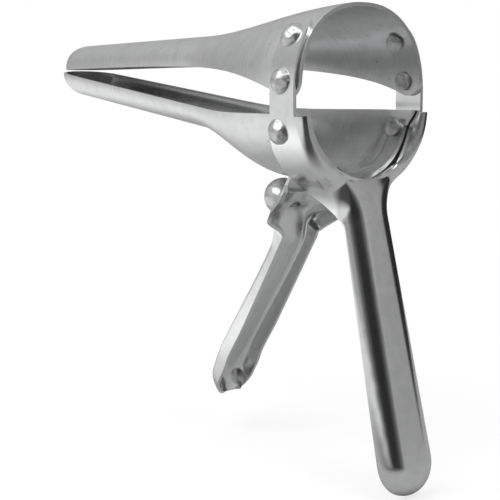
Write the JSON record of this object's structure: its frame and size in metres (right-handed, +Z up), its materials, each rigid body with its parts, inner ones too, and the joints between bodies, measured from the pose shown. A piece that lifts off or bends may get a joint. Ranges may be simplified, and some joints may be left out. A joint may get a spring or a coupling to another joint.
{
  "type": "bivalve speculum",
  "caption": "Pressed-steel bivalve speculum: riveted yoke and handle, fixed upper blade, hinged lower blade with a squeeze lever.",
  "frame": {"origin": "centre of the mouth, in the plane of the yoke flange's front face", "axes": "+X out of the mouth, so the blades point to -X; +Y across from one strap to the other; +Z up along the straps, away from the handle"},
  "size_m": [0.1601, 0.049, 0.1216],
  "materials": {
    "polished_steel": "polished",
    "satin_steel": "satin",
    "rivet_steel": "hammered"
  },
  "bodies": {
    "frame": {"handle": "polished_steel", "upper_blade": "satin_steel", "near_top_rivet": "rivet_steel", "far_top_rivet": "rivet_steel", "near_middle_rivet": "rivet_steel", "far_middle_rivet": "rivet_steel", "near_pivot_rivet": "rivet_steel", "far_pivot_rivet": "rivet_steel"},
    "lower_jaw": {"lower_blade": "satin_steel", "lever": "polished_steel", "lever_stud": "rivet_steel"}
  },
  "joints": [
    {"name": "blade_hinge", "type": "hinge", "parent": "frame", "child": "lower_jaw", "pos_m": [-0.0092, 0, -0.0079], "axis": [0, -1, 0], "range_deg": [0, 18]}
  ]
}
